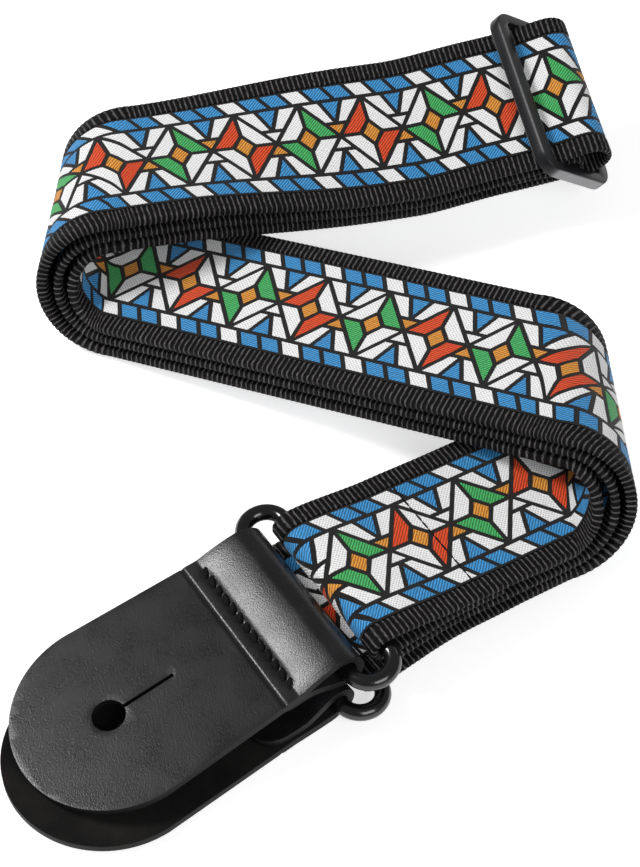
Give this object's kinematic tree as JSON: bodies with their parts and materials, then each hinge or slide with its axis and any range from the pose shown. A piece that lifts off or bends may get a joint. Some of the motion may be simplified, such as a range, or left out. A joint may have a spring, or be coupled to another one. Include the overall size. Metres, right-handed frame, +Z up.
{
  "type": "guitar strap",
  "caption": "Woven guitar strap with patterned ribbon, leather end tabs on oval rings and a three-bar slider, laid on a table in zigzag folds.",
  "frame": {"origin": "middle of the bounding box, on the table under the strap", "axes": "+Z up from the table, +Y from the end tabs towards the slider, +X to the right of someone facing the front tab"},
  "size_m": [0.1732, 0.2818, 0.0449],
  "materials": {
    "webbing": "black ribbed woven webbing",
    "ribbon": "jacquard ribbon in white, blue, orange, red and green with black lines",
    "thread": "heavy black waxed thread",
    "slider_plastic": "satin black moulded plastic",
    "ring_wire": "gloss black coated wire",
    "tab_leather": "black semi-gloss leather, suede on the flesh side"
  },
  "bodies": {
    "strap": {"front_webbing": "webbing", "back_webbing": "webbing", "tail_webbing": "webbing", "front_ribbon": "ribbon", "back_ribbon": "ribbon", "tail_ribbon": "ribbon", "fixed_end_stitch": "thread", "tail_end_stitch": "thread"},
    "slider": {"slider": "slider_plastic"},
    "front_ring": {"front_ring": "ring_wire"},
    "front_tab": {"front_tab_leather": "tab_leather", "front_tab_stitch": "thread"},
    "rear_ring": {"rear_ring": "ring_wire"},
    "rear_tab": {"rear_tab_leather": "tab_leather", "rear_tab_stitch": "thread"}
  },
  "joints": [
    {"name": "slider_travel", "type": "slide", "parent": "strap", "child": "slider", "axis": [-0.9664, -0.232, -0.1103], "range_m": [0, 0.015], "deforming": ["tail_webbing", "tail_ribbon", "tail_end_stitch"]},
    {"name": "front_ring_turn", "type": "hinge", "parent": "strap", "child": "front_ring", "pos_m": [0.00079, -0.06988, 0.01692], "axis": [-0.5388, 0.8425, 0], "range_deg": [0, 60]},
    {"name": "front_tab_turn", "type": "hinge", "parent": "front_ring", "child": "front_tab", "pos_m": [-0.00924, -0.07629, 0.01546], "axis": [-0.5388, 0.8425, 0], "range_deg": [0, 75]},
    {"name": "rear_ring_turn", "type": "hinge", "parent": "strap", "child": "rear_ring", "pos_m": [-0.00332, -0.07322, 0.00612], "axis": [0.5948, -0.8039, 0], "range_deg": [0, 45]},
    {"name": "rear_tab_turn", "type": "hinge", "parent": "rear_ring", "child": "rear_tab", "pos_m": [-0.01296, -0.08035, 0.00612], "axis": [0.5948, -0.8039, 0], "range_deg": [0, 60]}
  ]
}
